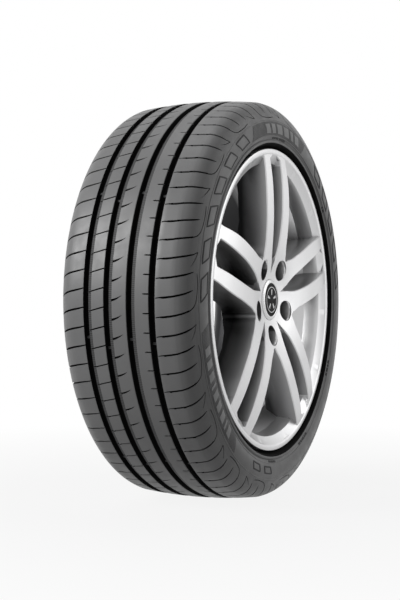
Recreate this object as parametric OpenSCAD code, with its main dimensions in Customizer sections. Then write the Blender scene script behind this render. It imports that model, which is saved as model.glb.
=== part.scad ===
// Car tyre fitted on its five double-spoke alloy wheel, in millimetres.
// The spin axis is Y, the face with the spokes looks towards -Y and the origin is the centre of
// the rim: on the axis, halfway between the flanges.

/* [Tyre] */
// Section width of the fitted tyre
tyre_w = 224.6; // [218:0.2:232]
// Outer diameter over the tread
tyre_d = 630; // [622:0.5:640]
// Width of the tread band between its rounded shoulders
tread_w = 168; // [162:1:176]
// Radius of the tread across its width
crown_r = 700; // [600:50:1400]
// Rubber left under the grooves
under_tread = 8.5; // [7:0.5:10]
// Thickness of the sidewall
side_t = 8.5; // [7:0.5:10]
// Width of each bead where it sits on the rim
bead_w = 17; // [15:0.5:18]
// Gap between the rubber and the rim
bead_clear = 0.3; // [0.1:0.1:0.5]

/* [Tread] */
// Depth of the main grooves
groove_d = 7.5; // [6:0.5:8]
// Width of the main grooves at the surface
groove_w = 8.8; // [7:0.2:10]
// Width of the stepped chamfer on the outer side of three grooves
step_w = 4.4; // [2:0.2:5]
// Depth of that chamfer
step_d = 2.6; // [1:0.2:4]
// Place of the innermost groove across the tread
groove_1 = -54.6; // [-57:0.2:-52]
// Place of the second groove
groove_2 = -20.6; // [-23:0.2:-18]
// Place of the third groove
groove_3 = 15.9; // [14:0.1:18]
// Place of the groove next to the spoke side
groove_4 = 50.8; // [49:0.2:53]
// Groups of four shoulder blocks round the tyre
groups = 19; // [16:1:20]
// Depth of the grooves across the shoulders
cross_d = 4.5; // [3:0.5:6]
// Width of the grooves across the shoulders
cross_w = 2.8; // [2:0.2:3.6]
// Width of the fine cuts across the narrow rib
sipe_w = 1.5; // [1:0.1:2]
// Depth of the fine cuts and notches
sipe_d = 4; // [3:0.5:6]
// Length of the notches in the two middle ribs
notch_l = 11.5; // [8:0.5:14]
// Width of the thin line that links three shoulder blocks
line_w = 1.6; // [1:0.2:2.4]

/* [Rim] */
// Diameter of the bead seats
rim_d = 436.6; // [434:0.2:439]
// Width between the flanges
rim_w = 190.5; // [186:0.5:195]
// Height of the flanges over the bead seats
flange_h = 19; // [16:0.5:21]
// Width of the rolled flange
flange_w = 10.8; // [9:0.2:12]
// Thickness of the rim wall
rim_t = 6.5; // [5:0.5:8]
// Depth of the drop centre below the bead seats
well_d = 21; // [17:1:24]
// Width of the floor of the drop centre
well_w = 34; // [28:2:42]
// Distance from the bead side of the outer flange to the drop centre
well_in = 43; // [40:1:46]

/* [Spokes] */
// Number of spoke pairs, with one bolt between each two
pairs = 5; // [4:1:6]
// How far the spokes stand out beyond the flange at their highest
spoke_rise = 6; // [2:0.2:6]
// Depth of the spokes where they meet the rim
spoke_depth = 48; // [42:1:52]
// Width of each blade at the rim
blade_rim = 22; // [18:0.5:26]
// Width of each blade half-way out
blade_mid = 26.5; // [22:0.5:30]
// Gap between the two blades of a pair at the rim
gap_rim = 41; // [34:1:46]
// Gap between the two blades half-way out
gap_mid = 37; // [30:1:42]
// Radius at which the gap of a pair starts
gap_start = 62; // [58:1:66]
// Radius at which the large windows start
window_start = 77; // [75:0.5:80]
// Thickness of the spoke face over the channel in its back
face_t = 15; // [12:1:20]
// Wall on each side of that channel
channel_wall = 5.5; // [4:0.5:7]

/* [Hub] */
// Distance of the mounting face from the rim centre
offset_et = 45; // [40:1:49]
// Diameter of the centre bore
bore_d = 57.1; // [56:0.1:58]
// Diameter of the bolt circle
bolt_pcd = 112; // [110:0.5:113]
// Diameter of the bolt holes
bolt_hole_d = 15; // [13:0.5:16]
// Diameter of the bolt pockets
pocket_d = 31; // [28:0.5:32]
// Metal under the bolt seats
seat_t = 14; // [10:1:18]
// Radius of the mounting pad
pad_r = 73; // [71:0.5:75]
// Depth of the hub face behind the flange at the cap
hub_dip = 9; // [7:0.5:11]

/* [Centre cap] */
// Outer diameter of the cap
cap_d = 65; // [63:0.5:67]
// Diameter of the dark disc let into the cap
disc_d = 52; // [46:0.5:54]
// Height of the cap over its recess
cap_h = 5.6; // [4.5:0.1:7]
// Depth of the recess that the cap sits in
recess_d = 2.6; // [2:0.1:3.4]
// Length of the clips behind the cap
clip_l = 17; // [14:0.5:20]
// Number of clips
clips = 6; // [4:1:8]
// Wire of the spring that spreads the clips
spring_wire = 1.6; // [1.2:0.1:2]

/* [Valve] */
// Diameter of the valve hole in the rim
valve_hole_d = 11.3; // [11:0.1:12]
// Length of the valve from the rim to its cap
valve_l = 25; // [22:1:30]
// Diameter of the valve body at its tip
valve_d = 9.6; // [9.2:0.1:10.4]
// Slant of the valve towards the open face
valve_lean = 24; // [20:1:28]

/* [Hidden] */
$fn = 96;

tyre_r = tyre_d / 2;
half_w = tyre_w / 2;
half_tread = tread_w / 2;
seat_r = rim_d / 2;
bead_r = seat_r + bead_clear;
section_h = tyre_r - bead_r;
half_rim = rim_w / 2;
flange_r = seat_r + flange_h;
flange_z = half_rim + flange_w;
pitch = 360 / (4 * groups);
pitch_mm = PI * tyre_d / (4 * groups);

// Points that a smooth curve through p passes, with n steps from each point to the next
function blend(a, b, c, d, t) =
    0.5 * (2 * b + (c - a) * t + (2 * a - 5 * b + 4 * c - d) * t * t + (3 * b - a - 3 * c + d) * t * t * t);
function curve(p, n) = let (m = len(p) - 1) concat(
    [for (i = [0:m - 1], k = [0:n - 1])
        blend(p[max(i - 1, 0)], p[i], p[i + 1], p[min(i + 2, m)], k / n)], [p[m]]);
function flip(p) = [for (i = [len(p) - 1:-1:0]) p[i]];
function rest(p) = [for (i = [1:len(p) - 1]) p[i]];
// The same points on the other side of the middle of the tyre
function other_side(p) = [for (q = flip(p)) [q[0], -q[1]]];

// Turns a shape drawn round Z, with the open face up, to its place round Y
module upright() rotate([90, 0, 0]) children();

// Tyre: points are [radius, distance from the middle]
function crown(z) = tyre_r - z * z / (2 * crown_r);
// Shares of the way from the bead seat up to the tread, and from the tread's edge out to the widest point
function up(k) = bead_r + k * section_h;
function out(k) = half_tread + k * (half_w - half_tread);
edge = curve([[crown(half_tread), half_tread], [up(0.913), out(0.285)], [up(0.846), out(0.56)],
    [up(0.74), out(0.78)], [up(0.62), out(0.935)], [up(0.5), half_w], [up(0.4), half_w - 0.9],
    [flange_r + 13.5, half_w - 3.6]], 2);
outer_half = concat([for (k = [0:2]) let (z = half_tread * k / 3) [crown(z), z]], edge,
    [[flange_r + 12, half_w - 1.8], [flange_r + 9, half_w - 2], [flange_r + 5.8, half_w - 6],
    [flange_r + 4.4, half_rim + 6], [flange_r + 2.2, half_rim + 1.5], [flange_r - 4, half_rim - bead_clear],
    [bead_r + 4, half_rim - bead_clear], [bead_r + 1.2, half_rim - bead_clear - 1.2],
    [bead_r, half_rim - bead_clear - 4]]);
inner_half = curve([[bead_r, half_rim - bead_w], [bead_r + 9, half_rim - bead_w + 1],
    [flange_r + 8, half_w - side_t - 10], [up(0.42), half_w - side_t], [up(0.6), half_w - side_t - 1.5],
    [up(0.78), out(0.54) - side_t],
    [crown(half_tread) - groove_d - under_tread - 1, half_tread - 8],
    [crown(half_tread / 2) - groove_d - under_tread, half_tread / 2],
    [tyre_r - groove_d - under_tread, 0]], 2);

// A main groove round the tread, with its chamfer where it has one
module main_groove(z, step) {
    r = crown(z);
    w = groove_w / 2;
    polygon([[r + 3, z - w - 0.6], [r - groove_d, z - w + 1.2], [r - groove_d, z + w - 1.2],
        [r + 3, z + w + 0.6]]);
    if (step) polygon([[r + 3, z + w - 1.5], [r - step_d, z + w - 1.5], [r - 0.7, z + w + step_w],
        [r + 3, z + w + step_w]]);
}

// Cuts a plan outline, [distance from the middle, distance round], down from the tread to radius r
module cut_down(r, outline)
    rotate([0, 90, 0]) translate([0, 0, r]) linear_extrude(height = tyre_r + 6 - r)
        polygon([for (q = outline) [-q[0], q[1]]]);

// The plan outline of a groove that follows points [distance, round, width]
function band(p) = concat([for (q = p) [q[0], q[1] - q[2] / 2]], [for (q = flip(p)) [q[0], q[1] + q[2] / 2]]);

// The part of the shoulder that a groove of the given depth may reach, on either side
module reach(depth, lead, from = groove_4 + 1) {
    middle = (from + half_tread) / 2;
    shoulder = concat([[crown(from), from], [crown(middle), middle]], [for (i = [1, 3, 5, 7]) edge[i]]);
    n = len(shoulder) - 1;
    function slope(i) = let (d = shoulder[min(i + 1, n)] - shoulder[max(i - 1, 0)]) d / norm(d);
    function deep(i) = depth * (i == 0 ? lead : i == n ? 0.3 : 1);
    rotate([90, 0, 0]) linear_extrude(height = 2.4 * pitch_mm, center = true) polygon(concat(
        [for (i = [0:n]) let (s = slope(i)) shoulder[i] - deep(i) * [s[1], -s[0]]],
        [for (i = [n:-1:0]) let (s = slope(i)) shoulder[i] + 4 * [s[1], -s[0]]]));
}

// Groove across the shoulder on the spoke side; k is its place in its group of four
module outer_cross(k) {
    l = [0, 0, -5, 1][k];
    w = cross_w;
    intersection() {
        cut_down(up(0.4), band([[groove_4 + 5, 0.6, w * 0.55], [groove_4 + 15, 0, w],
            [out(0.364), -1.6, w * 0.9], [half_w - 2 + l, -6.5, w * 0.45]]));
        reach(cross_d, 0.5);
    }
}

// Groove across the other shoulder, which runs out of the innermost main groove
module inner_cross() mirror([0, 0, 1]) intersection() {
    cut_down(up(0.4), band([[-groove_1 + groove_w / 2 - 1, 0, sipe_w],
        [half_tread - 6, 5.5, cross_w * 0.8], [half_w - 4, 15, cross_w * 0.5]]));
    reach(cross_d, 1, -groove_1);
}

// Thin line round the shoulder that links three blocks of a group, and the hook above it
line_at = (edge[6] + edge[7]) / 2;
module link_line() {
    rotate(-0.55 * pitch) rotate_extrude(angle = 2.55 * pitch)
        translate(line_at) circle(d = line_w * 1.4);
    hook(0);
}
module hook(a) rotate(-1.1 * pitch) intersection() {
    cut_down(up(0.4), band([[out(0.22), pitch_mm * 0.55, line_w], [out(0.76), pitch_mm * 0.05, line_w]]));
    reach(2, 1);
}

module tread_cuts() {
    rib_2 = [groove_1 + groove_w / 2 - 1, groove_2 - groove_w / 2 + 1];
    rib_3 = groove_2 + groove_w / 2 + step_w - 1;
    for (g = [0:groups - 1]) rotate(360 / groups * g) {
        for (k = [0:3]) rotate(pitch * k) {
            outer_cross(k);
            rotate(pitch * 0.35) inner_cross();
            rotate(pitch * 0.1) cut_down(tyre_r - sipe_d, band([[rib_2[0], 4.5, sipe_w], [rib_2[1], -4.5, sipe_w]]));
            rotate(pitch * 0.6) cut_down(tyre_r - sipe_d, [[rib_3, -1.8], [rib_3, 1.8],
                [rib_3 + notch_l, -3.4], [rib_3 + notch_l - 1, -4.4]]);
            rotate(pitch * 0.2) cut_down(tyre_r - sipe_d - 1, band([[groove_4 - groove_w / 2 + 1, 0, sipe_w * 1.3],
                [groove_4 - groove_w / 2 - notch_l, -0.6, sipe_w * 1.1]]));
        }
        link_line();
    }
}

module tyre() color("dimgray") upright() difference() {
    rotate_extrude() difference() {
        polygon(concat(outer_half, inner_half, rest(other_side(inner_half)),
            [for (q = flip(rest(flip(other_side(outer_half))))) q]));
        main_groove(groove_1, true);
        main_groove(groove_2, true);
        main_groove(groove_3, true);
        main_groove(groove_4, false);
    }
    tread_cuts();
}

// Wheel: outline of the rim wall, from the flange on the open face round to its back
rim_half = [[flange_r - 2.4, flange_z], [flange_r - 0.6, flange_z - 1], [flange_r, flange_z - 3],
    [flange_r - 0.6, flange_z - 6], [flange_r - 3.4, half_rim + 1.2], [flange_r - 7, half_rim],
    [seat_r + 2.5, half_rim], [seat_r + 0.7, half_rim - 0.7], [seat_r, half_rim - 2.5],
    [seat_r, half_rim - bead_w - 2], [seat_r + 0.9, half_rim - bead_w - 4], [seat_r - 0.8, half_rim - bead_w - 8]];
rim_in = seat_r - rim_t;
well_r = seat_r - well_d;
well_z = half_rim - well_in;
rim_outline = concat(rim_half,
    [[seat_r - 3, well_z + 15], [well_r + 3, well_z + 2], [well_r, well_z - 1], [well_r, well_z - well_w],
    [seat_r - 5, well_z - well_w - 30], [seat_r - 2.5, -half_rim + bead_w + 12]],
    other_side(rim_half),
    [[flange_r - 7.5, -flange_z], [flange_r - 10, -flange_z + 1.2], [rim_in + 3, -half_rim + 1],
    [rim_in - 1.5, -half_rim + 12], [rim_in - 4, well_z - well_w - 30],
    [well_r - rim_t, well_z - well_w - 4], [well_r - rim_t, well_z + 1], [well_r - 2, well_z + 6.5],
    [rim_in - 1, well_z + 20], [rim_in + 0.6, half_rim - 4], [rim_in + 3.2, half_rim + 2], [flange_r - 9.6, flange_z - 1], [flange_r - 8, flange_z]]);

// Front of the spokes as [radius, height], from the cap out to the flange
hub_z = flange_z - hub_dip;
recess_r = cap_d / 2 + 0.3;
front = curve([[recess_r, hub_z], [recess_r + 14, hub_z + 2.2], [64, hub_z + 6.2], [82, hub_z + 9.6],
    [104, flange_z + spoke_rise * 0.58], [128, flange_z + spoke_rise * 0.92], [152, flange_z + spoke_rise],
    [180, flange_z + spoke_rise * 0.86], [204, flange_z + spoke_rise * 0.5], [flange_r - 9, flange_z - 0.6]], 3);
back = [[seat_r, flange_z - spoke_depth], [172, flange_z - spoke_depth + 4], [130, flange_z - spoke_depth + 5],
    [102, flange_z - spoke_depth], [pad_r + 7, offset_et + 4], [pad_r, offset_et]];

// Everything inside the middle of the rim's wall, where the spokes end
inside_rim = [[0, 0], [well_r - 3, 0], [well_r - 3, well_z - 2], [well_r + 0.5, well_z + 3], [seat_r - 4, well_z + 18],
    [seat_r - 3, half_rim - 6], [seat_r - 2, half_rim + 1], [flange_r - 6, half_rim + 2], [flange_r - 6, flange_z + 30],
    [0, flange_z + 30]];

// Edges of a blade as distances from the middle line of its pair, at a radius
function gap_at(r) = lookup(r, [[gap_start - 12, 0], [gap_start, gap_mid * 0.2], [80, gap_mid * 0.29], [94, gap_mid * 0.36],
    [125, gap_mid * 0.46], [157, gap_mid / 2], [seat_r, gap_rim / 2], [seat_r + 20, gap_rim / 2 + 1]]);
function blade_at(r) = lookup(r, [[64, blade_mid * 1.2], [80, blade_mid * 1.17], [98, blade_mid * 1.05], [133, blade_mid * 0.99],
    [157, blade_mid], [188, blade_mid * 0.96], [seat_r, blade_rim], [seat_r + 20, blade_rim]]);
// Point on the edge of a large window, seen from the middle line of the window
function window_edge(r) = let (a = 180 / pairs - asin((gap_at(r) + blade_at(r)) / r)) [r * cos(a), r * sin(a)];

// A window cut through the spokes, from its outline on one side of its middle line
module window(half) linear_extrude(height = 2 * flange_z)
    polygon(concat(half, [[seat_r + 14, 0]], [for (q = flip(rest(half))) [q[0], -q[1]]]));

window_half = curve(concat([[window_start, 0], [window_start + 2.2, 4.2], [window_start + 7, 7.4]],
    [for (r = [94, 112, 134, 160, 188, seat_r + 2, seat_r + 14]) window_edge(r)]), 4);
gap_half = curve(concat([[gap_start, 0], [gap_start + 1.5, gap_mid * 0.14]],
    [for (r = [80, 94, 112, 134, 160, 188, seat_r + 2]) [r, gap_at(r)]]), 4);
// The valley that leads into the gap of a pair
module valley() translate([gap_start + 6, 0, hub_z + 0.5]) rotate([0, -24, 0]) linear_extrude(height = 60)
    polygon([[8, gap_mid * 0.24], [8, -gap_mid * 0.24], [-24, 0]]);

// Channel in the back of one blade
module channel(side) {
    span = [for (r = [100:14:seat_r - 20]) r];
    function mid(r) = gap_at(r) + blade_at(r) / 2;
    function half(r) = blade_at(r) / 2 - channel_wall;
    linear_extrude(height = flange_z - face_t) polygon(concat(
        [[span[0] - 6, side * mid(span[0])]],
        [for (r = span) [sqrt(r * r - mid(r) * mid(r)), side * (mid(r) + half(r))]],
        [for (r = flip(span)) [sqrt(r * r - mid(r) * mid(r)), side * (mid(r) - half(r))]]));
}

module bolt_hole() {
    translate([bolt_pcd / 2, 0, offset_et - 1]) cylinder(d = bolt_hole_d, h = 100);
    translate([bolt_pcd / 2, 0, offset_et + seat_t]) {
        cylinder(d1 = bolt_hole_d, d2 = bolt_hole_d + 9, h = 6);
        translate([0, 0, 6]) cylinder(d = pocket_d, h = 80);
    }
}

// Centre of the valve hole and its direction, on the wall beside the drop centre
valve_z = half_rim - bead_w - 5;
valve_r = rim_in + 0.2;
valve_turn = 90 + 180 / pairs * 3;
// Height of the boss round the hole, along the valve
boss_top = 4;
module at_valve() rotate(valve_turn) translate([valve_r, 0, valve_z]) rotate([0, -90 + valve_lean, 0]) children();

module wheel() color("silver") upright() difference() {
    union() {
        rotate_extrude() polygon(rim_outline);
        difference() {
            rotate_extrude() intersection() {
                polygon(concat(front, back, [[bore_d / 2, offset_et], [bore_d / 2, hub_z - recess_d],
                    [recess_r, hub_z - recess_d]]));
                polygon(inside_rim);
            }
            for (k = [0:pairs - 1]) rotate(90 + 360 / pairs * k) {
                rotate(180 / pairs) window(window_half);
                window(gap_half);
                valley();
                channel(1);
                channel(-1);
            }
        }
        intersection() {
            at_valve() translate([0, 0, -2]) cylinder(d = valve_hole_d + 9, h = boss_top + 2);
            rotate_extrude() polygon([[rim_in - 12, valve_z - 30], [seat_r - 3, valve_z - 30],
                [seat_r - 3, valve_z + 15], [rim_in - 12, valve_z + 30]]);
        }
    }
    for (k = [0:pairs - 1]) rotate(90 + 360 / pairs * (k + 0.5)) bolt_hole();
    // Groove for the cap's clips
    rotate_extrude() translate([bore_d / 2 - 1, hub_z - recess_d - clip_l + 1]) square([2.6, 4]);
    at_valve() translate([0, 0, -20]) cylinder(d = valve_hole_d, h = 40);
}

// Centre cap: a moulded shell with a skirt of clips behind it
cap_z = hub_z - recess_d;
cap_r = cap_d / 2;
skirt_r = bore_d / 2 - 0.4;
module cap() color("silver") upright() translate([0, 0, cap_z]) difference() {
    rotate_extrude() polygon([[0, 0.3], [skirt_r - 2.2, 0.3], [skirt_r - 2.2, -clip_l + 1.4],
        [skirt_r - 0.6, -clip_l + 1.4], [skirt_r + 1.2, -clip_l + 3.6], [skirt_r, -clip_l + 4.6], [skirt_r, 0.3],
        [cap_r, 0.3], [cap_r, recess_d + 0.4], [cap_r - 1.2, cap_h - 1.4], [cap_r - 3.4, cap_h - 0.2],
        [disc_d / 2 + 1, cap_h], [disc_d / 2 + 0.2, cap_h - 0.6], [disc_d / 2 + 0.2, cap_h - 2.4], [0, cap_h - 2.4]]);
    for (k = [0:clips - 1]) rotate(360 / clips * k) translate([0, -5, -clip_l]) cube([bore_d, 10, clip_l - 3]);
}

module cap_disc() color("darkslategray") upright() translate([0, 0, cap_z + cap_h - 2.3])
    rotate_extrude() polygon([[0, 0], [disc_d / 2, 0], [disc_d / 2, 1.6], [disc_d / 2 - 0.5, 2.1],
        [disc_d / 4, 2.3], [0, 2.35]]);

// Spring that lies inside the clips
module cap_spring() color("slategray") upright() translate([0, 0, cap_z - clip_l + 5])
    rotate(8) rotate_extrude(angle = 344) translate([skirt_r - 2.5 - spring_wire / 2, 0]) circle(d = spring_wire);

// Snap-in valve, drawn along Z from its bulb inside the tyre out to its cap
neck_r = valve_hole_d / 2 - 0.15;
head_z = boss_top + 0.3;
bulb_z = -8.6;
bulb_l = 9;
tube_d = 5.2;
tube_hole_d = 2.8;
// Where the rubber ends and the cap starts
stem_end = valve_l - 8;
module valve() color("black") upright() at_valve() difference() {
    rotate_extrude() polygon(concat([[0, bulb_z - bulb_l], [neck_r + 1.2, bulb_z - bulb_l],
        [neck_r + 2.6, bulb_z - bulb_l + 3], [neck_r + 2.6, bulb_z], [neck_r, bulb_z],
        [neck_r, head_z], [neck_r + 1.8, head_z], [neck_r + 1.2, head_z + 3.5]],
        curve([[neck_r - 0.2, head_z + 8], [valve_d / 2 + 0.3, head_z + 12], [valve_d / 2, stem_end]], 3),
        [[0, stem_end]]));
    translate([0, 0, bulb_z - bulb_l - 1]) cylinder(d = tube_d + 0.2, h = valve_l + 30);
}

// Brass tube of the valve
module valve_tube() color("goldenrod") upright() at_valve() translate([0, 0, bulb_z - bulb_l]) difference() {
    cylinder(d = tube_d, h = stem_end + 5.4 - bulb_z + bulb_l);
    translate([0, 0, -1]) cylinder(d = tube_hole_d, h = valve_l + 40);
}

cap_wall = 1.15;
module valve_cap() color("black") upright() at_valve() translate([0, 0, stem_end + 0.3]) difference() {
    rotate_extrude() polygon(let (r = tube_d / 2 + 0.15 + cap_wall)
        [[0, 0], [r, 0], [r, 7], [r - 0.6, 9.5], [r - 1.5, 10.4], [0, 10.6]]);
    translate([0, 0, -1]) cylinder(d = tube_d + 0.3, h = 7.1);
}

tyre();
wheel();
cap();
cap_disc();
cap_spring();
valve();
valve_tube();
valve_cap();
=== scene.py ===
# Low-profile car tyre on a double-spoke alloy wheel.
# The wheel's axis is Y, its open face looks towards -Y, and the origin is the centre of the rim.
from math import asin, cos, degrees, hypot, pi, radians, sin

import bmesh
import bpy
from mathutils import Matrix, Vector


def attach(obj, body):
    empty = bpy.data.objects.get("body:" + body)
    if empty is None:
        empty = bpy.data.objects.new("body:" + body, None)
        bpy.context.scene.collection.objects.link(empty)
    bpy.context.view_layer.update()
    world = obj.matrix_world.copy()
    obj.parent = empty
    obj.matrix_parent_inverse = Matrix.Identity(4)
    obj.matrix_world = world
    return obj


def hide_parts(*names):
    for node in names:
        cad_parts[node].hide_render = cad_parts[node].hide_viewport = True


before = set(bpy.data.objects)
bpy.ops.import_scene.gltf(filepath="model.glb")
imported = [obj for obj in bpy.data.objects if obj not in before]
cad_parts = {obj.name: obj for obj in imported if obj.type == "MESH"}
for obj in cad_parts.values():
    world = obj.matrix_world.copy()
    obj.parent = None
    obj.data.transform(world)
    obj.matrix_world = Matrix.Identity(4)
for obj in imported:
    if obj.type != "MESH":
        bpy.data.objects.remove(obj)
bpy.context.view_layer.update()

# Sizes in millimetres. They are those of the solids, apart from HALF_W, which leaves room for the raised
# markings inside the solids' box, and GROUPS, which follows the photograph.
TYRE_R = 315
HALF_W = 111.7
HALF_TREAD = 84
CROWN_R = 700
SEAT_R = 218.3
HALF_RIM = 95.25
FLANGE_R = 237.3
FLANGE_Z = 106.05
BEAD_R = 218.6
GROOVES = (-54.6, -20.6, 15.9, 50.8)
GROUPS = 18
PITCH = 2 * pi / (4 * GROUPS)
RIM_IN = 211.8
WELL_R = 197.3
WELL_Z = 52.25
HUB_Z = 97.05
CAP_H = 5.6
PAIRS = 5
VALVE_TURN = 198
BOLT_CIRCLE_R = 56
BORE_R = 28.55
CAP_SEAT_R = 32.8
CAP_RECESS = 2.6
CAP_DISC_DROP = 2.3
CAP_DISC_T = 2.1
RIM_T = 6.5
GROOVE_HALF_W = 4.4
GROOVE_DEPTH = 7.5
# Length of the steps along the edges of the sidewall's strokes
STEP = 3.5

# Places of the tyre's and the casting's materials in their lists
ON_TREAD, ON_WALL, IN_PAINTED_SHADE, ON_STEP = range(4)
FACE, POCKET, BARREL, BEHIND = range(4)


def smooth_line(points, steps):
    """Points of a smooth curve through the given points, as tuples of any length."""
    line = []
    last = len(points) - 1
    for i in range(last):
        a, b, c, d = (points[max(i - 1, 0)], points[i], points[i + 1], points[min(i + 2, last)])
        for k in range(steps):
            t = k / steps
            line.append(tuple(0.5 * (2 * q + (r - p) * t + (2 * p - 5 * q + 4 * r - s) * t * t
                                     + (3 * q - p - 3 * r + s) * t ** 3) for p, q, r, s in zip(a, b, c, d)))
    line.append(tuple(points[-1]))
    return line


def between(x, table):
    """Value at x on the straight lines through a table of (x, value)."""
    if x <= table[0][0]:
        return table[0][1]
    for (x0, y0), (x1, y1) in zip(table, table[1:]):
        if x <= x1:
            return y0 + (y1 - y0) * (x - x0) / (x1 - x0)
    return table[-1][1]


def drawn_as_ring(outline, steps):
    """A closed outline of (radius, distance from the middle) turned once round the axis."""
    bm = bmesh.new()
    ring = [bm.verts.new((r / 1000, 0, z / 1000)) for r, z in outline]
    for a, b in zip(ring, ring[1:] + ring[:1]):
        bm.edges.new((a, b))
    bmesh.ops.spin(bm, geom=bm.verts[:] + bm.edges[:], axis=(0, 0, 1), cent=(0, 0, 0), angle=2 * pi,
                   steps=steps, use_merge=True)
    bmesh.ops.remove_doubles(bm, verts=bm.verts, dist=1e-6)
    bmesh.ops.recalc_face_normals(bm, faces=bm.faces)
    return bm


def stack_of_loops(loops):
    """A closed solid from loops of equal length, each [(x, y, z), ...] in millimetres."""
    bm = bmesh.new()
    ring = [bm.verts.new(Vector(p) / 1000) for p in loops[0]]
    bm.faces.new(ring)
    edges = [bm.edges.get((a, b)) for a, b in zip(ring, ring[1:] + ring[:1])]
    for loop in loops[1:]:
        grown = bmesh.ops.extrude_edge_only(bm, edges=edges)["geom"]
        fresh = {g for g in grown if isinstance(g, bmesh.types.BMVert)}
        ring = [next(e.other_vert(v) for e in v.link_edges if e.other_vert(v) in fresh) for v in ring]
        edges = [bm.edges.get((a, b)) for a, b in zip(ring, ring[1:] + ring[:1])]
        for v, p in zip(ring, loop):
            v.co = Vector(p) / 1000
    bm.faces.new(ring)
    bmesh.ops.recalc_face_normals(bm, faces=bm.faces)
    return bm


def copies(bm, angles):
    """The shape in bm turned round the axis to each angle; the shape itself isn't kept."""
    first = bm.verts[:] + bm.edges[:] + bm.faces[:]
    for angle in angles:
        new = bmesh.ops.duplicate(bm, geom=first)["geom"]
        bmesh.ops.rotate(bm, verts=[g for g in new if isinstance(g, bmesh.types.BMVert)],
                         matrix=Matrix.Rotation(angle, 3, "Z"), cent=(0, 0, 0))
    bmesh.ops.delete(bm, geom=first, context="VERTS")
    return bm


def joined(*parts):
    """Several bmeshes as one."""
    whole = parts[0]
    for part in parts[1:]:
        mesh = bpy.data.meshes.new("part")
        part.to_mesh(mesh)
        whole.from_mesh(mesh)
        bpy.data.meshes.remove(mesh)
        part.free()
    return whole


def as_object(name, bm):
    mesh = bpy.data.meshes.new(name)
    bm.to_mesh(mesh)
    bm.free()
    obj = bpy.data.objects.new(name, mesh)
    bpy.context.collection.objects.link(obj)
    return obj


def carved(bm, tool, operation="DIFFERENCE"):
    """bm with the tool's solids cut away or added."""
    body, cutter = as_object("body", bm), as_object("cutter", tool)
    step = body.modifiers.new("cut", "BOOLEAN")
    step.operation, step.object, step.solver = operation, cutter, "MANIFOLD"
    result = bmesh.new()
    result.from_object(body, bpy.context.evaluated_depsgraph_get())
    for obj in (body, cutter):
        mesh = obj.data
        bpy.data.objects.remove(obj)
        bpy.data.meshes.remove(mesh)
    return result


def finished(name, bm, materials, crease=32):
    """Stands the shape up on the wheel's axis and makes it a piece of the wheel."""
    bmesh.ops.rotate(bm, verts=bm.verts, matrix=Matrix.Rotation(pi / 2, 3, "X"), cent=(0, 0, 0))
    for face in bm.faces:
        face.smooth = True
    for edge in bm.edges:
        edge.smooth = len(edge.link_faces) == 2 and edge.calc_face_angle(0) < radians(crease)
    obj = as_object(name, bm)
    for material in materials:
        obj.data.materials.append(material)
    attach(obj, "root")
    return obj


# Materials

class Recipe:
    """A material's node tree with short calls for its nodes."""

    def __init__(self, name, colour, roughness, metallic=0.0):
        self.material = bpy.data.materials.new(name)
        self.material.use_nodes = True
        self.tree = self.material.node_tree
        self.shader = self.tree.nodes["Principled BSDF"]
        self.shader.inputs["Base Color"].default_value = (*colour, 1)
        self.shader.inputs["Roughness"].default_value = roughness
        self.shader.inputs["Metallic"].default_value = metallic
        self.place = self.node("ShaderNodeTexCoord").outputs["Object"]

    def node(self, kind, **settings):
        node = self.tree.nodes.new(kind)
        for key, value in settings.items():
            if key.startswith("in_"):
                node.inputs[key[3:]].default_value = value
            else:
                setattr(node, key, value)
        return node

    def link(self, source, target):
        self.tree.links.new(source, target)

    def noise(self, scale, detail):
        node = self.node("ShaderNodeTexNoise", in_Scale=scale, in_Detail=detail, in_Roughness=0.55)
        self.link(self.place, node.inputs["Vector"])
        return node.outputs["Fac"]

    def math(self, operation, a, b=None):
        node = self.node("ShaderNodeMath", operation=operation)
        for socket, value in zip(node.inputs, (a, b)):
            if value is None:
                continue
            if isinstance(value, (int, float)):
                socket.default_value = value
            else:
                self.link(value, socket)
        return node.outputs[0]

    def spread(self, value, low, high, to_low=0.0, to_high=1.0):
        node = self.node("ShaderNodeMapRange")
        for socket, number in zip(node.inputs[1:5], (low, high, to_low, to_high)):
            socket.default_value = number
        self.link(value, node.inputs[0])
        return node.outputs[0]

    def mixed(self, factor, a, b):
        node = self.node("ShaderNodeMix", data_type="RGBA")
        self.link(factor, node.inputs[0])
        for socket, value in ((node.inputs[6], a), (node.inputs[7], b)):
            if isinstance(value, tuple):
                socket.default_value = (*value, 1)
            else:
                self.link(value, socket)
        return node.outputs[2]

    def colour(self, source):
        self.link(source, self.shader.inputs["Base Color"])

    def roughness(self, source):
        self.link(source, self.shader.inputs["Roughness"])

    def bump(self, height, distance, strength):
        node = self.node("ShaderNodeBump", in_Strength=strength, in_Distance=distance)
        self.link(height, node.inputs["Height"])
        self.link(node.outputs[0], self.shader.inputs["Normal"])


def rubber(name, colour, roughness, dusty, stripes=0, gloss=0.35):
    """Moulded rubber with fine grain and faint bloom, and where it is ribbed, radial stripes of painted shade
    between the fine ribs.
    """
    mix = Recipe(name, colour, roughness)
    bloom = mix.spread(mix.noise(9, 4), 0.35, 0.7)
    grain = mix.noise(900, 2)
    skin_colour = mix.mixed(bloom, colour, dusty)
    if stripes:
        apart = mix.node("ShaderNodeSeparateXYZ")
        mix.link(mix.place, apart.inputs[0])
        turn = mix.math("ARCTAN2", apart.outputs["Z"], apart.outputs["X"])
        wave = mix.spread(mix.math("SINE", mix.math("MULTIPLY", turn, stripes)), -0.4, 0.4)
        # Painted shade: radial stripes at 0.4 of the colour, for the shade between fine ribs
        skin_colour = mix.mixed(wave, tuple(c * 0.4 for c in colour), skin_colour)
        grain = mix.math("ADD", grain, wave)
    mix.colour(skin_colour)
    mix.roughness(mix.spread(mix.noise(60, 3), 0.3, 0.7, roughness - 0.07, roughness + 0.07))
    mix.bump(grain, 0.0002, 0.35)
    mix.shader.inputs["Specular IOR Level"].default_value = gloss
    return mix.material


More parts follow.
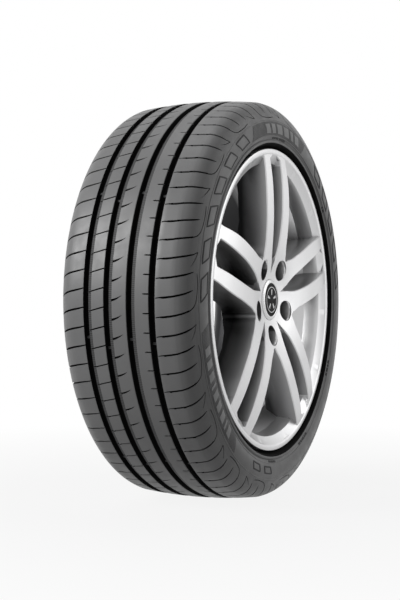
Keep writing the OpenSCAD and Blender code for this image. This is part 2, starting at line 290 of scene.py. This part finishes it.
def alloy(name, colour, roughness, metallic=1.0, painted_inner_shade=None):
    """Lacquered aluminium with a faint flake; the last argument, if given, is (colour painted further in as
    shade, Y of its start, Y of its end).
    """
    mix = Recipe(name, colour, roughness, metallic)
    flake = mix.noise(1400, 2)
    paint = mix.mixed(mix.spread(flake, 0.35, 0.65), tuple(c * 0.93 for c in colour), colour)
    # Painted shade: the colour darkens towards the inside of the wheel, along Y
    if painted_inner_shade:
        apart = mix.node("ShaderNodeSeparateXYZ")
        mix.link(mix.place, apart.inputs[0])
        paint = mix.mixed(mix.spread(apart.outputs["Y"], painted_inner_shade[1], painted_inner_shade[2]), paint, painted_inner_shade[0])
    mix.colour(paint)
    mix.roughness(mix.spread(mix.noise(35, 3), 0.3, 0.7, roughness - 0.03, roughness + 0.04))
    mix.bump(mix.noise(220, 3), 0.0001, 0.05)
    return mix.material


tread_rubber = rubber("tread_rubber", (0.108, 0.108, 0.109), 0.44, (0.125, 0.125, 0.126))
wall_rubber = rubber("sidewall_rubber", (0.090, 0.090, 0.091), 0.40, (0.105, 0.105, 0.106))
# Near-black painted shade for the insides of the grooves and the valley by the rim's flange
painted_groove_shade_rubber = rubber("painted_groove_shade_rubber", (0.004, 0.004, 0.004), 0.8, (0.006, 0.006, 0.006), gloss=0.05)
step_rubber = rubber("ribbed_step_rubber", (0.046, 0.046, 0.047), 0.55, (0.056, 0.056, 0.057), stripes=720,
                     gloss=0.2)
panel_rubber = rubber("ribbed_panel_rubber", (0.036, 0.036, 0.037), 0.55, (0.044, 0.044, 0.045), stripes=900)
mark_rubber = rubber("raised_mark_rubber", (0.012, 0.012, 0.013), 0.5, (0.016, 0.016, 0.017), gloss=0.15)
pale_rubber = rubber("buffed_mark_rubber", (0.20, 0.20, 0.202), 0.5, (0.24, 0.24, 0.242))
face_alloy = alloy("face_silver", (0.64, 0.64, 0.645), 0.36, 0.85)
# Grey paint in the pockets, darkening to near black further in as painted shade
pocket_alloy = alloy("pocket_grey", (0.40, 0.40, 0.403), 0.36, 0.85,
                     painted_inner_shade=((0.02, 0.02, 0.021), -0.108, -0.068))
# Silver barrel, darkening to near black towards its back as painted shade
barrel_alloy = alloy("barrel_silver", (0.62, 0.62, 0.625), 0.32, 0.8,
                     painted_inner_shade=((0.014, 0.014, 0.015), -0.015, 0.02))
# Near-black painted shade on the back of the casting and deep inside it
back_shade_alloy = alloy("back_painted_shade", (0.03, 0.03, 0.031), 0.45, 0.2)


# Tyre

def crown(z):
    return TYRE_R - z * z / (2 * CROWN_R)


def up(share):
    return BEAD_R + share * (TYRE_R - BEAD_R)


def out(share):
    return HALF_TREAD + share * (HALF_W - HALF_TREAD)


SHOULDER = smooth_line([(crown(HALF_TREAD), HALF_TREAD), (up(0.913), out(0.285)), (up(0.846), out(0.56)),
                        (up(0.74), out(0.78)), (up(0.62), out(0.935)), (up(0.5), HALF_W),
                        (up(0.4), HALF_W - 0.9), (FLANGE_R + 13.5, HALF_W - 3.6)], 5)


def skin_run():
    """(length along the skin from the tread's middle, radius, distance from the middle), out to the bead."""
    points = [(crown(z), z) for z in range(0, HALF_TREAD, 4)] + SHOULDER
    run, length = [], 0
    for k, (r, z) in enumerate(points):
        if k:
            length += hypot(r - points[k - 1][0], z - points[k - 1][1])
        run.append((length, r, z))
    return run


SKIN = skin_run()
R_ALONG = [(length, r) for length, r, z in SKIN]
Z_ALONG = [(length, z) for length, r, z in SKIN]
ALONG_Z = [(z, length) for length, r, z in SKIN[:SKIN.index(max(SKIN, key=lambda q: q[2])) + 1]]
ALONG_R = [(r, length) for length, r, z in reversed(SKIN)]


def length_to(z):
    """Length along the skin from the middle of the tread to a distance from the middle."""
    return between(abs(z), ALONG_Z) * (1 if z > 0 else -1)


def skin(length):
    """Point and outward direction, as (radius, distance from the middle), at a length along the skin."""
    side = 1 if length >= 0 else -1
    ends = [Vector((between(abs(length + step), R_ALONG), between(abs(length + step), Z_ALONG)
                    * (1 if length + step >= 0 else -1))) for step in (-0.5, 0.5)]
    along = (ends[1] - ends[0]).normalized()
    point = Vector((between(abs(length), R_ALONG), side * between(abs(length), Z_ALONG)))
    return point, Vector((along.y, -along.x))


def wall(radius):
    """Length along the skin at which the sidewall of the open face has a radius."""
    return between(radius, ALONG_R)


# Radii of the thin rings that frame the sidewall's markings
RINGS = (281.5, 255.8)


def main_groove(z, stepped):
    """Outline points of one groove round the tread, from its inner lip to its outer one."""
    r, w = crown(z), GROOVE_HALF_W
    inner = [(crown(z - w - 0.9), z - w - 0.9), (r - 0.5, z - w - 0.35), (r - 6.8, z - w + 0.9),
             (r - GROOVE_DEPTH, z - w + 1.7)]
    if stepped:
        return inner + [(r - GROOVE_DEPTH, z + w - 2.8), (r - 6.8, z + w - 2.3), (r - 2.9, z + w - 1.9),
                        (r - 2.5, z + w - 1.5), (r - 0.8, z + w + 4.2), (crown(z + w + 4.6), z + w + 4.6)]
    return inner + [(r - GROOVE_DEPTH, z + w - 1.7), (r - 6.8, z + w - 0.9), (r - 0.5, z + w + 0.35),
                    (crown(z + w + 0.9), z + w + 0.9)]


def tyre_outline():
    """The whole section: tread with its grooves, sidewalls, beads and inside."""
    tread = [(crown(z), z) for z in range(-77, 78, 7)]
    for k, z in enumerate(GROOVES):
        run = main_groove(z, k < 3)
        tread = [q for q in tread if q[1] < run[0][1] - 1 or q[1] > run[-1][1] + 1]
        at = sum(q[1] < z for q in tread)
        tread[at:at] = run
    side = [q for q in SHOULDER if all(abs(q[0] - radius) > 1.6 for radius in RINGS)]
    for radius in RINGS:
        for shift, lift in ((-0.9, 0), (-0.45, 0.55), (0.45, 0.55), (0.9, 0)):
            point, way = skin(wall(radius + shift))
            side.append(tuple(point + way * lift))
    side.sort(key=lambda q: -q[0])
    foot = smooth_line([(FLANGE_R + 13.5, HALF_W - 3.6), (FLANGE_R + 12, HALF_W - 2.1),
                        (FLANGE_R + 9.6, HALF_W - 1.7), (FLANGE_R + 7, HALF_W - 3.6),
                        (FLANGE_R + 5.2, HALF_W - 7.5), (FLANGE_R + 4.2, HALF_RIM + 6),
                        (FLANGE_R + 2.2, HALF_RIM + 1.5), (FLANGE_R - 1.5, HALF_RIM - 0.2)], 3)[1:]
    foot += [(FLANGE_R - 4, HALF_RIM - 0.3), (BEAD_R + 4, HALF_RIM - 0.3), (BEAD_R + 1.2, HALF_RIM - 1.5),
             (BEAD_R, HALF_RIM - 4.3)]
    bead = HALF_RIM - 17
    inside = smooth_line([(BEAD_R, bead), (BEAD_R + 9, bead + 1), (FLANGE_R + 8, HALF_W - 18.5),
                          (up(0.42), HALF_W - 8.5), (up(0.6), HALF_W - 10), (up(0.78), out(0.54) - 8.5),
                          (crown(HALF_TREAD) - 17, HALF_TREAD - 8),
                          (crown(HALF_TREAD / 2) - 16, HALF_TREAD / 2), (TYRE_R - 16, 0)], 1)
    half = side + foot + inside
    return tread + half + [(r, -z) for r, z in reversed(half[:-1])]


def groove_cutter(stations, steps):
    """Cutter along a smooth path of (distance from the middle, pitches round, width, depth) stations."""
    path = smooth_line([(length_to(z), turn * PITCH, width, depth) for z, turn, width, depth in stations],
                       steps)
    loops = []
    for k, (length, turn, width, depth) in enumerate(path):
        before, after = path[max(k - 1, 0)], path[min(k + 1, len(path) - 1)]
        radius = skin(length)[0].x
        aside = Vector((-(after[1] - before[1]) * radius, after[0] - before[0])).normalized()
        half = [(lift, share * width / 2)
                for lift, share in ((3.0, 1.0), (-depth * 0.55, 1.0), (-depth, 0.6))]
        ring = []
        for lift, w in [(lift, -w) for lift, w in half] + half[::-1]:
            point, way = skin(length + aside.x * w)
            q = point + way * lift
            angle = turn + aside.y * w / radius
            ring.append((q.x * cos(angle), q.x * sin(angle), q.y))
        loops.append(ring)
    return stack_of_loops(loops)


def turned(bm, angle):
    bmesh.ops.rotate(bm, verts=bm.verts, matrix=Matrix.Rotation(angle, 3, "Z"), cent=(0, 0, 0))
    return bm


# Paths of the cuts over one pitch: distance from the middle, pitches round, width, depth
OUTER_CUT = [(GROOVES[3] + 5.4, 0.03, 1.3, 1.2), (GROOVES[3] + 11, 0, 1.8, 2.4), (GROOVES[3] + 17, 0, 3, 4.5),
             (79, -0.04, 3, 4.5), (88, -0.1, 2.9, 4.2), (97, -0.2, 2.7, 3.4), (101.5, -0.3, 2.1, 2.6),
             (104.6, -0.4, 0.9, 0.9)]
INNER_CUT = [(GROOVES[0] - 3.4, -0.02, 1.6, 4), (-68, 0.06, 2.5, 4.4), (-80, 0.14, 2.8, 4.5),
             (-91, 0.25, 2.8, 4), (-100, 0.41, 2, 3.4), (-106, 0.6, 1.4, 1.8), (-108.6, 0.76, 0.8, 0.8)]
RIB_CUT = [(GROOVES[0] + 3.6, 0.12, 1.6, 4), (-38, 0, 2, 4), (GROOVES[1] - 3.6, -0.12, 2, 4)]
DART = [(GROOVES[1] + 7.4, 0.03, 3.4, 3), (-9, 0, 3.1, 3.6), (-3, -0.08, 2.2, 2.8), (1, -0.15, 1.2, 1.6),
        (4.4, -0.23, 0.5, 0.6)]
NOTCH = [(GROOVES[3] - 14, 0, 1.1, 2.2), (GROOVES[3] - 11.5, 0, 2, 4.5), (GROOVES[3] - 3.6, 0.01, 2.1, 4.5)]
# The arrow's tip and tail, and the line that links the next three blocks
ARROW = [(103.6, -0.36, 1.5, 1.6), (106.3, -0.52, 1.3, 1.3)]
TAIL = [(106.6, -0.54, 1.2, 1.3), (105, -0.1, 1.1, 1.3), (102, 0.33, 0.7, 0.6)]
LINK = [(107, 0.64, 0.8, 0.7), (107.4, 0.85, 1.2, 1.3), (107.8, 1.4, 1.2, 1.3), (107, 2.15, 1.2, 1.3),
        (105.2, 2.5, 1.3, 1.4), (102.5, 2.68, 1.5, 1.7), (99.5, 2.78, 1.7, 2.2)]


def tread_cutters():
    """The cuts of one group of four pitches, as sets that don't cross each other."""
    sets = [[], [groove_cutter(TAIL, 3)], [groove_cutter(LINK, 4)]]
    for k in range(4):
        outer = OUTER_CUT[:-1] + ARROW if k == 0 else OUTER_CUT[:-1] if k == 3 else OUTER_CUT
        for path, shift, steps in ((outer, 0, 2), (INNER_CUT, 0.5, 2), (RIB_CUT, 0.59, 3), (DART, 0.11, 2),
                                   (NOTCH, 0.81, 1)):
            sets[0].append(turned(groove_cutter(path, steps), PITCH * (k + shift)))
    for cuts in sets:
        for cut in cuts:
            turned(cut, -0.11 * PITCH)
    return [joined(*cuts) for cuts in sets]


def tread_zone(point):
    """Which rubber shows at a point of the tyre; the insides of the grooves and the valley by the rim's
    flange take the near-black rubber, which is painted shade.
    """
    radius, z = hypot(point.x, point.y), point.z
    # Painted shade: the valley between the tyre's foot and the rim's flange
    if abs(z) > HALF_RIM and radius < FLANGE_R + 8.4:
        return IN_PAINTED_SHADE
    if abs(z) > 109.5 or radius < 262:
        return ON_WALL
    at, way = skin(length_to(z))
    depth = (at - Vector((radius, z))).dot(way)
    if depth > 12:
        return ON_WALL
    for groove in GROOVES[:3]:
        if groove + 4 < z < groove + 9.2 and 0.5 < depth < 2.9:
            return ON_STEP
    # Painted shade: faces deeper than 1.1 mm inside a groove
    if depth > 1.1:
        return IN_PAINTED_SHADE
    return ON_TREAD if abs(z) < 106 else ON_WALL


def tyre():
    body = drawn_as_ring(tyre_outline(), 4 * GROUPS * 3)
    turns = [2 * pi / GROUPS * (g + 0.5) for g in range(GROUPS)]
    for tool in tread_cutters():
        body = carved(body, copies(tool, turns))
    bmesh.ops.dissolve_degenerate(body, dist=1e-6, edges=body.edges)
    for face in body.faces:
        face.material_index = tread_zone(face.calc_center_median() * 1000)
    return finished("tyre_rubber", body, [tread_rubber, wall_rubber, painted_groove_shade_rubber, step_rubber], crease=28)


rubber_ring = tyre()
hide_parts("tyre")


# Sidewall markings: plain strokes, bars and panels on the open face

def on_wall(radius, degrees_round, lift):
    """Place over the outer sidewall, in metres."""
    point, way = skin(wall(radius))
    q = (point + way * lift) / 1000
    angle = radians(degrees_round)
    return Vector((q.x * cos(angle), q.x * sin(angle), q.y))


def ridge(path, width, lift):
    """Raised line along a closed path of (radius, degrees round)."""
    bm = bmesh.new()
    count = len(path)
    rings = []
    for k, (radius, turn) in enumerate(path):
        before, after = path[k - 1], path[(k + 1) % count]
        way = Vector((after[0] - before[0], radians(after[1] - before[1]) * radius)).normalized()
        rings.append([bm.verts.new(on_wall(radius - way.y * w * width,
                                           turn + degrees(way.x * w * width / radius), h))
                      for w, h in ((-0.5, -0.5), (-0.36, lift), (0.36, lift), (0.5, -0.5))])
    for a, b in zip(rings, rings[1:] + rings[:1]):
        for i in range(4):
            bm.faces.new((a[i], a[(i + 1) % 4], b[(i + 1) % 4], b[i]))
    bmesh.ops.recalc_face_normals(bm, faces=bm.faces)
    return bm


def corners_joined(corners):
    """Points about STEP apart along straight lines from corner to corner and back to the first."""
    path = []
    for (r0, a0), (r1, a1) in zip(corners, corners[1:] + corners[:1]):
        count = max(1, round(hypot(r1 - r0, radians(a1 - a0) * (r0 + r1) / 2) / STEP))
        path += [(r0 + (r1 - r0) * k / count, a0 + (a1 - a0) * k / count) for k in range(count)]
    return path


def patch(low, high, start, end, lift, lean):
    """Flat raised block between two radii and two angles, its ends leaning by degrees per millimetre."""
    bm = bmesh.new()
    rows, columns = max(1, round((high - low) / 5)), max(1, round(abs(end - start) / 1.6))
    layers = []
    for height in (-0.5, lift):
        layers.append([[bm.verts.new(on_wall(low + (high - low) * i / rows,
                                             start + (end - start) * j / columns
                                             + lean * (high - low) * i / rows, height))
                        for j in range(columns + 1)] for i in range(rows + 1)])
    for grid in layers:
        for i in range(rows):
            for j in range(columns):
                bm.faces.new((grid[i][j], grid[i][j + 1], grid[i + 1][j + 1], grid[i + 1][j]))
    base, top = layers
    rim = ([(0, j) for j in range(columns)] + [(i, columns) for i in range(rows)]
           + [(rows, j) for j in range(columns, 0, -1)] + [(i, 0) for i in range(rows, 0, -1)])
    for (i, j), (m, n) in zip(rim, rim[1:] + rim[:1]):
        bm.faces.new((base[i][j], base[m][n], top[m][n], top[i][j]))
    bmesh.ops.recalc_face_normals(bm, faces=bm.faces)
    return bm


def outlined_stroke(at, width, low, high, lean):
    """Outline of one slanted stroke."""
    shift = lean * (high - low)
    corners = [(low, at), (high, at + shift), (high, at + shift + width), (low, at + width)]
    return ridge(corners_joined(corners), 2.8, 0.5)


def sidewall_strokes():
    strokes = [outlined_stroke(115.5 + 11.2 * k, 6.6, 261, 278, 0.16) for k in range(6)]
    strokes += [outlined_stroke(4 + 10.5 * k, 6.4, 261, 276, 0.16) for k in range(5)]
    strokes += [outlined_stroke(248 + 9.5 * k, 5.4, 262, 272, 0.12) for k in range(2)]
    for start, widths in ((83, (1.7, 0.9, 1.7, 0, 1.9, 1.2, 1.4)), (36, (1.3, 0.8)),
                          (329, (1.2, 1.7, 0.9, 1.4)), (291, (1.6, 1.1, 1.9, 0.8, 1.3)),
                          (262, (2.2, 1.2, 1.8)), (216, (1.1, 0.7, 1.5, 0.9, 1.1))):
        at = start
        for width in widths:
            if width:
                strokes.append(patch(252, 255.2, at, at + width, 0.4, 0.03))
            at += width + 0.45
    return finished("sidewall_strokes", joined(*strokes), [mark_rubber])


def sidewall_panels():
    panels = [patch(257.5, 279, 68, 113, 0.25, -0.12), patch(257.5, 279, 187, 231, 0.25, 0.12)]
    return finished("sidewall_panels", joined(*panels), [panel_rubber])


def sidewall_bars():
    bars = []
    for start, widths in ((71.5, (3.6, 2.4, 4.4, 4.4, 3, 3.4)),
                          (194, (2.6, 2.6, 2.6, 0.9, 2.6, 2.6, 2.8, 1, 2.6))):
        at = start
        for width in widths:
            bars.append(patch(261, 275.5, at, at + width, 0.6, 0.05))
            at += width + 1.5
    return finished("sidewall_bars", joined(*bars), [pale_rubber])


for piece in (sidewall_strokes(), sidewall_panels(), sidewall_bars()):
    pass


def wear_bars():
    """Low bars across the main grooves, nine round the tyre in each."""
    bars = []
    for groove, first in zip(GROOVES, (30, 32.7, 30.4, 31.5)):
        r = crown(groove)
        outline = [(r - 9, groove - 3.4), (r - 5.9, groove - 3.8), (r - 5.9, groove + 3.8)]
        if groove < GROOVES[3]:
            outline += [(r - 1.7, groove + 4.6), (r - 0.6, groove + 8.2), (r - 9, groove + 8.2)]
        else:
            outline += [(r - 9, groove + 3.4)]
        bar = stack_of_loops([[(q * cos(a), q * sin(a), z) for q, z in outline] for a in (-0.006, 0.006)])
        bars.append(copies(bar, [radians(first + 40 * k) for k in range(9)]))
    return finished("wear_bars", joined(*bars), [panel_rubber])


wear_bars()


# Wheel

FRONT = smooth_line([(CAP_SEAT_R, HUB_Z), (46.8, HUB_Z + 2.2), (64, HUB_Z + 6.2), (82, HUB_Z + 9.6),
                     (104, FLANGE_Z + 3.5), (128, FLANGE_Z + 5.5), (152, FLANGE_Z + 6),
                     (180, FLANGE_Z + 5.2), (204, FLANGE_Z + 3), (FLANGE_R - 9, FLANGE_Z - 0.6)], 6)
# The spokes end inside the rim's wall
ROOT = [(FLANGE_R - 10.6, HALF_RIM + 1.9), (SEAT_R - 2, HALF_RIM + 1), (SEAT_R - 3, HALF_RIM - 6),
        (SEAT_R - 4, WELL_Z + 18), (WELL_R + 3.6, 58)]
BACK = ROOT + [(172, 62), (130, 63), (102, 58), (80, 49), (73, 45)]


def front_height(radius):
    return between(radius, FRONT)


def gap_at(r):
    return between(r, [(50, 0), (62, 7.4), (80, 10.7), (94, 13.3), (125, 17), (157, 18.5), (SEAT_R, 20.5),
                       (SEAT_R + 20, 21.5)])


def blade_at(r):
    return between(r, [(64, 31.8), (80, 31), (98, 27.8), (133, 26.2), (157, 26.5), (188, 25.4), (SEAT_R, 22),
                       (SEAT_R + 20, 22)])


def window_half():
    edge = []
    for r in (94, 112, 134, 160, 188, SEAT_R + 2, SEAT_R + 14):
        a = radians(36) - asin((gap_at(r) + blade_at(r)) / r)
        edge.append((r * cos(a), r * sin(a)))
    return smooth_line([(77, 0), (79.2, 4.2), (84, 7.4)] + edge, 6)


def gap_half():
    edge = [(r, gap_at(r)) for r in (80, 94, 112, 134, 160, 188, SEAT_R + 2)]
    return smooth_line([(62, 0), (63.5, 5.2)] + edge, 6)


def window_cutter(half):
    """Cuts a window through the spokes and rounds its edge on the open face."""
    outline = half + [(SEAT_R + 14, 0)] + [(x, -y) for x, y in reversed(half[1:])]
    count = len(outline)
    sideways = []
    for k in range(count):
        a, b = Vector(outline[k - 1]), Vector(outline[(k + 1) % count])
        run = (b - a).normalized()
        sideways.append(Vector((run.y, -run.x)))
    middle = Vector((140, 0))
    sideways = [s if s.dot(Vector(p) - middle) > 0 else -s for s, p in zip(sideways, outline)]

    def loop(wider, drop=None, height=None):
        points = []
        for p, s in zip(outline, sideways):
            q = Vector(p) + s * wider
            points.append((q.x, q.y, height if height is not None else front_height(q.length) - drop))
        return points
    return stack_of_loops([loop(0, height=0), loop(0, drop=1.9), loop(0.45, drop=0.9), loop(1.3, drop=0.15),
                           loop(2.2, drop=-1), loop(2.2, height=150)])


def rim_outline():
    half = [(FLANGE_R - 2.4, FLANGE_Z), (FLANGE_R - 1, FLANGE_Z - 0.5), (FLANGE_R - 0.2, FLANGE_Z - 1.8),
            (FLANGE_R, FLANGE_Z - 3.4), (FLANGE_R - 0.6, FLANGE_Z - 6),
            (FLANGE_R - 3.4, HALF_RIM + 1.2), (FLANGE_R - 7, HALF_RIM),
            (SEAT_R + 2.5, HALF_RIM), (SEAT_R + 0.7, HALF_RIM - 0.7), (SEAT_R, HALF_RIM - 2.5),
            (SEAT_R, HALF_RIM - 19), (SEAT_R + 0.9, HALF_RIM - 21), (SEAT_R - 0.8, HALF_RIM - 25)]
    low = WELL_Z - 34
    return (half + [(SEAT_R - 3, WELL_Z + 15), (WELL_R + 3, WELL_Z + 2), (WELL_R, WELL_Z - 1), (WELL_R, low),
                    (SEAT_R - 5, low - 30), (SEAT_R - 2.5, -HALF_RIM + 29)]
            + [(r, -z) for r, z in reversed(half)]
            + [(FLANGE_R - 7.5, -FLANGE_Z), (FLANGE_R - 10, -FLANGE_Z + 1.2), (RIM_IN + 3, -HALF_RIM + 1),
               (RIM_IN - 1.5, -HALF_RIM + 12), (RIM_IN - 4, low - 30), (WELL_R - RIM_T, low - 4),
               (WELL_R - RIM_T, WELL_Z + 1), (WELL_R - 2, WELL_Z + 6.5), (RIM_IN - 1, WELL_Z + 20),
               (RIM_IN + 0.6, HALF_RIM - 4), (RIM_IN + 3.2, HALF_RIM + 2),
               (FLANGE_R - 10.4, FLANGE_Z - 2.2), (FLANGE_R - 9.4, FLANGE_Z - 1),
               (FLANGE_R - 8, FLANGE_Z - 0.35), (FLANGE_R - 6.6, FLANGE_Z)])


def round_cutter(x, outline):
    """A turned cutter with its axis at distance x from the wheel's axis; outline is (radius, height)."""
    bm = drawn_as_ring([(max(r, 0.001), z) for r, z in outline], 48)
    bmesh.ops.translate(bm, verts=bm.verts, vec=(x / 1000, 0, 0))
    return bm


def channel(side):
    """Hollow in the back of one blade."""
    def mid(r):
        return gap_at(r) + blade_at(r) / 2
    radii = range(100, 199, 7)
    edge = [((r * r - mid(r) ** 2) ** 0.5, side * (mid(r) + blade_at(r) / 2 - 5.5)) for r in radii]
    edge += [((r * r - mid(r) ** 2) ** 0.5, side * (mid(r) - blade_at(r) / 2 + 5.5)) for r in reversed(radii)]
    return stack_of_loops([[(x, y, 0) for x, y in edge], [(x, y, FLANGE_Z - 15) for x, y in edge]])


def wheel():
    disc = drawn_as_ring(FRONT + BACK + [(BORE_R, 45), (BORE_R, HUB_Z - CAP_RECESS),
                                          (CAP_SEAT_R, HUB_Z - CAP_RECESS)], 180)
    fifth = 2 * pi / PAIRS
    turns = [pi / 2 + fifth * k for k in range(PAIRS)]
    disc = carved(disc, copies(window_cutter(window_half()), [a + fifth / 2 for a in turns]))
    disc = carved(disc, copies(window_cutter(gap_half()), turns))
    disc = carved(disc, copies(joined(channel(1), channel(-1)), turns))
    valley = stack_of_loops([[(-24, 0, 0), (8, -9, 0), (8, 9, 0)], [(-24, 0, 60), (8, -9, 60), (8, 9, 60)]])
    bmesh.ops.rotate(valley, verts=valley.verts, matrix=Matrix.Rotation(radians(-24), 3, "Y"), cent=(0, 0, 0))
    bmesh.ops.translate(valley, verts=valley.verts, vec=(0.068, 0, (HUB_Z + 0.5) / 1000))
    disc = carved(disc, copies(valley, turns))
    whole = carved(drawn_as_ring(rim_outline(), 240), disc, "UNION")
    bolt = round_cutter(BOLT_CIRCLE_R, [(0, 40), (7.5, 40), (7.5, 59), (12, 65), (15.5, 65), (15.5, 100.2),
                                        (16.1, 101.6), (17.2, 103), (17.2, 125), (0, 125)])
    whole = carved(whole, copies(bolt, [a + fifth / 2 for a in turns]))
    # Boss and hole for the valve, on the slope beside the drop centre
    at_valve = (Matrix.Rotation(radians(VALVE_TURN), 4, "Z")
                @ Matrix.Translation((RIM_IN + 0.2, 0, HALF_RIM - 22))
                @ Matrix.Rotation(radians(-66), 4, "Y"))
    at_valve.translation /= 1000
    boss = round_cutter(0, [(0, -2), (10.15, -2), (10.15, 3.4), (9.6, 4), (0, 4)])
    hole = round_cutter(0, [(0, -20), (5.65, -20), (5.65, 20), (0, 20)])
    for tool in (boss, hole):
        tool.transform(at_valve)
    whole = carved(whole, boss, "UNION")
    whole = carved(whole, hole)
    bmesh.ops.dissolve_degenerate(whole, dist=1e-6, edges=whole.edges)
    # Faces at the back and deep inside take the near-black painted shade
    for face in whole.faces:
        c = face.calc_center_median() * 1000
        r = hypot(c.x, c.y)
        outward = Vector((c.x, c.y, 0)).normalized().dot(face.normal)
        on_face = c.z > front_height(r) - 2.3 and r > 33
        on_ledge = r > 211 and c.z > 75 and outward < 0.2
        barrel = r > 189.5 and outward < -0.5
        behind = c.z < 57 or face.normal.z < -0.5
        face.material_index = (FACE if on_face or on_ledge else BARREL if barrel
                               else BEHIND if behind else POCKET)
    return finished("wheel_casting", whole, [face_alloy, pocket_alloy, barrel_alloy, back_shade_alloy], crease=30)


casting = wheel()
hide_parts("wheel")

# Nodes kept from the solids, with their finishes
for node, recipe in (("cap", alloy("cap_silver", (0.66, 0.66, 0.665), 0.25, 0.85)),
                     ("cap_disc", rubber("cap_disc_gloss", (0.014, 0.014, 0.015), 0.5, (0.018, 0.018, 0.019),
                                        gloss=0.04)),
                     ("cap_spring", alloy("spring_wire", (0.45, 0.45, 0.46), 0.35)),
                     ("valve", rubber("valve_rubber", (0.03, 0.03, 0.031), 0.5, (0.04, 0.04, 0.041))),
                     ("valve_tube", alloy("valve_brass", (0.72, 0.55, 0.30), 0.3)),
                     ("valve_cap", rubber("valve_cap_plastic", (0.025, 0.025, 0.026), 0.4,
                                          (0.03, 0.03, 0.031)))):
    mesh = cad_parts[node].data
    mesh.materials.clear()
    mesh.materials.append(recipe)


def cap_motif():
    """Plain raised ring and five short rays on the dark disc."""
    top = HUB_Z - CAP_RECESS + CAP_H - CAP_DISC_DROP + CAP_DISC_T
    ring = drawn_as_ring([(19.2, top - 0.6), (19.2, top + 0.25), (20.4, top + 0.25), (20.4, top - 0.6)], 96)
    ray = stack_of_loops([[(7.5, -1.1, z), (16, -2.2, z), (16, 2.2, z), (7.5, 1.1, z)]
                          for z in (top - 0.6, top + 0.4)])
    rays = copies(ray, [pi / 2 + 2 * pi / PAIRS * k for k in range(PAIRS)])
    return finished("cap_motif", joined(ring, rays), [motif_silver])


motif_silver = alloy("motif_silver", (0.50, 0.50, 0.505), 0.3, 0.85)
cap_motif()


# Studio: pale floor, soft light, and the camera at the photograph's viewing angle

def studio():
    ground = Recipe("studio_floor", (0.5, 0.5, 0.5), 0.6)
    ground.shader.inputs["Specular IOR Level"].default_value = 0.2
    ground.colour(ground.mixed(ground.noise(3, 2), (0.32, 0.32, 0.32), (0.34, 0.34, 0.34)))
    # White to the camera, with part of the lit floor kept for its shadow
    rays = ground.node("ShaderNodeLightPath")
    glow = ground.node("ShaderNodeEmission", in_Strength=1.0)
    blend = ground.node("ShaderNodeMixShader")
    far = ground.node("ShaderNodeVectorMath", operation="LENGTH")
    ground.link(ground.place, far.inputs[0])
    share = ground.spread(far.outputs["Value"], 0.45, 1.3, 0.88, 1.0)
    seen = ground.math("MAXIMUM", rays.outputs["Is Camera Ray"], rays.outputs["Is Glossy Ray"])
    ground.link(ground.math("MULTIPLY", seen, share), blend.inputs[0])
    ground.link(ground.shader.outputs[0], blend.inputs[1])
    ground.link(glow.outputs[0], blend.inputs[2])
    ground.link(blend.outputs[0], ground.tree.nodes["Material Output"].inputs["Surface"])
    bm = bmesh.new()
    bmesh.ops.create_grid(bm, x_segments=2, y_segments=2, size=12,
                          matrix=Matrix.Translation((0, 0, -TYRE_R / 1000 - 0.0002)))
    floor = as_object("studio_floor", bm)
    floor.data.materials.append(ground.material)

    # White to the camera and in reflections, but dim as a light
    world = bpy.data.worlds.new("studio")
    bpy.context.scene.world = world
    world.use_nodes = True
    tree = world.node_tree
    back = tree.nodes["Background"]
    rays = tree.nodes.new("ShaderNodeLightPath")
    seen = rays.outputs["Is Camera Ray"]
    for kind in ("Is Transmission Ray", "Is Glossy Ray"):
        either = tree.nodes.new("ShaderNodeMath")
        either.operation = "MAXIMUM"
        tree.links.new(seen, either.inputs[0])
        tree.links.new(rays.outputs[kind], either.inputs[1])
        seen = either.outputs[0]
    strength = tree.nodes.new("ShaderNodeMapRange")
    strength.inputs["To Min"].default_value = 0.14
    strength.inputs["To Max"].default_value = 1.0
    tree.links.new(seen, strength.inputs["Value"])
    tree.links.new(strength.outputs[0], back.inputs["Strength"])
    back.inputs["Color"].default_value = (1, 1, 1, 1)

    def lamp(name, place, target, size, power):
        light = bpy.data.lights.new(name, "AREA")
        light.shape, light.size, light.size_y, light.energy = "RECTANGLE", size[0], size[1], power
        obj = bpy.data.objects.new(name, light)
        aim = (Vector(target) - Vector(place)).to_track_quat("-Z", "Y")
        obj.matrix_world = Matrix.Translation(place) @ aim.to_matrix().to_4x4()
        bpy.context.collection.objects.link(obj)

    lamp("tread_key", (-2.0, 1.5, 1.2), (0, 0, 0.05), (1.1, 1.3), 80)
    lamp("face_key", (1.5, -2.1, 0.9), (0, 0, 0), (2.2, 2.2), 19)
    lamp("top", (0.0, 0.2, 2.4), (0, 0, 0), (1.2, 1.2), 10)


studio()

eye = Vector((-1.974393, -0.927172, 0.001549))
right = Vector((0.43457844, -0.90063399, 0.0))
up_way = Vector((0.00085709, 0.00041357, 0.99999955))
back_way = Vector((-0.90063358, -0.43457824, 0.00095165))
camera = bpy.data.objects.new("camera", bpy.data.cameras.new("camera"))
SENSOR = 36
FOCAL_PIXELS = 1354.99
LONG_SIDE_PIXELS = 600
camera.data.sensor_width = SENSOR
camera.data.lens = FOCAL_PIXELS * SENSOR / LONG_SIDE_PIXELS
camera.matrix_world = (Matrix.Translation(eye)
                       @ Matrix((right, up_way, back_way)).transposed().to_4x4())
bpy.context.collection.objects.link(camera)
bpy.context.scene.camera = camera
bpy.context.scene.view_settings.view_transform = "Standard"
